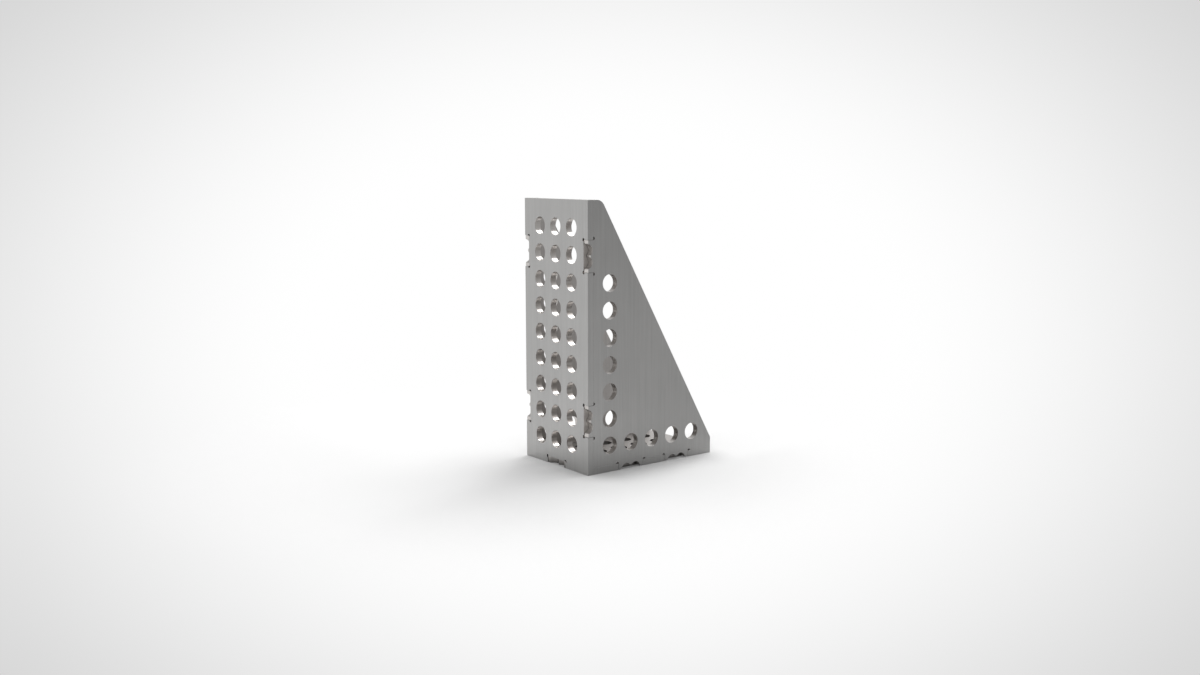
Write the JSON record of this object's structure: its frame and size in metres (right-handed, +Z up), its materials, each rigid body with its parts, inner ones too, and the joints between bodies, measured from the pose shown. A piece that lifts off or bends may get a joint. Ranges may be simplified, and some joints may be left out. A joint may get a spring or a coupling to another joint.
{
  "type": "welding table block",
  "caption": "Upright fixture block for a welding table: drilled front and base plates between two triangular side plates, keyed together by tabs and open at the sloped back.",
  "frame": {"origin": "middle of the footprint, on the table", "axes": "+Z up, -Y out of the drilled front face, +X to the right seen from the front"},
  "size_m": [0.1016, 0.1524, 0.254],
  "materials": {
    "plate_steel": "fine vertical grain, satin"
  },
  "bodies": {
    "root": {"front_plate": "plate_steel", "base_plate": "plate_steel", "left_side_plate": "plate_steel", "right_side_plate": "plate_steel"}
  },
  "joints": []
}
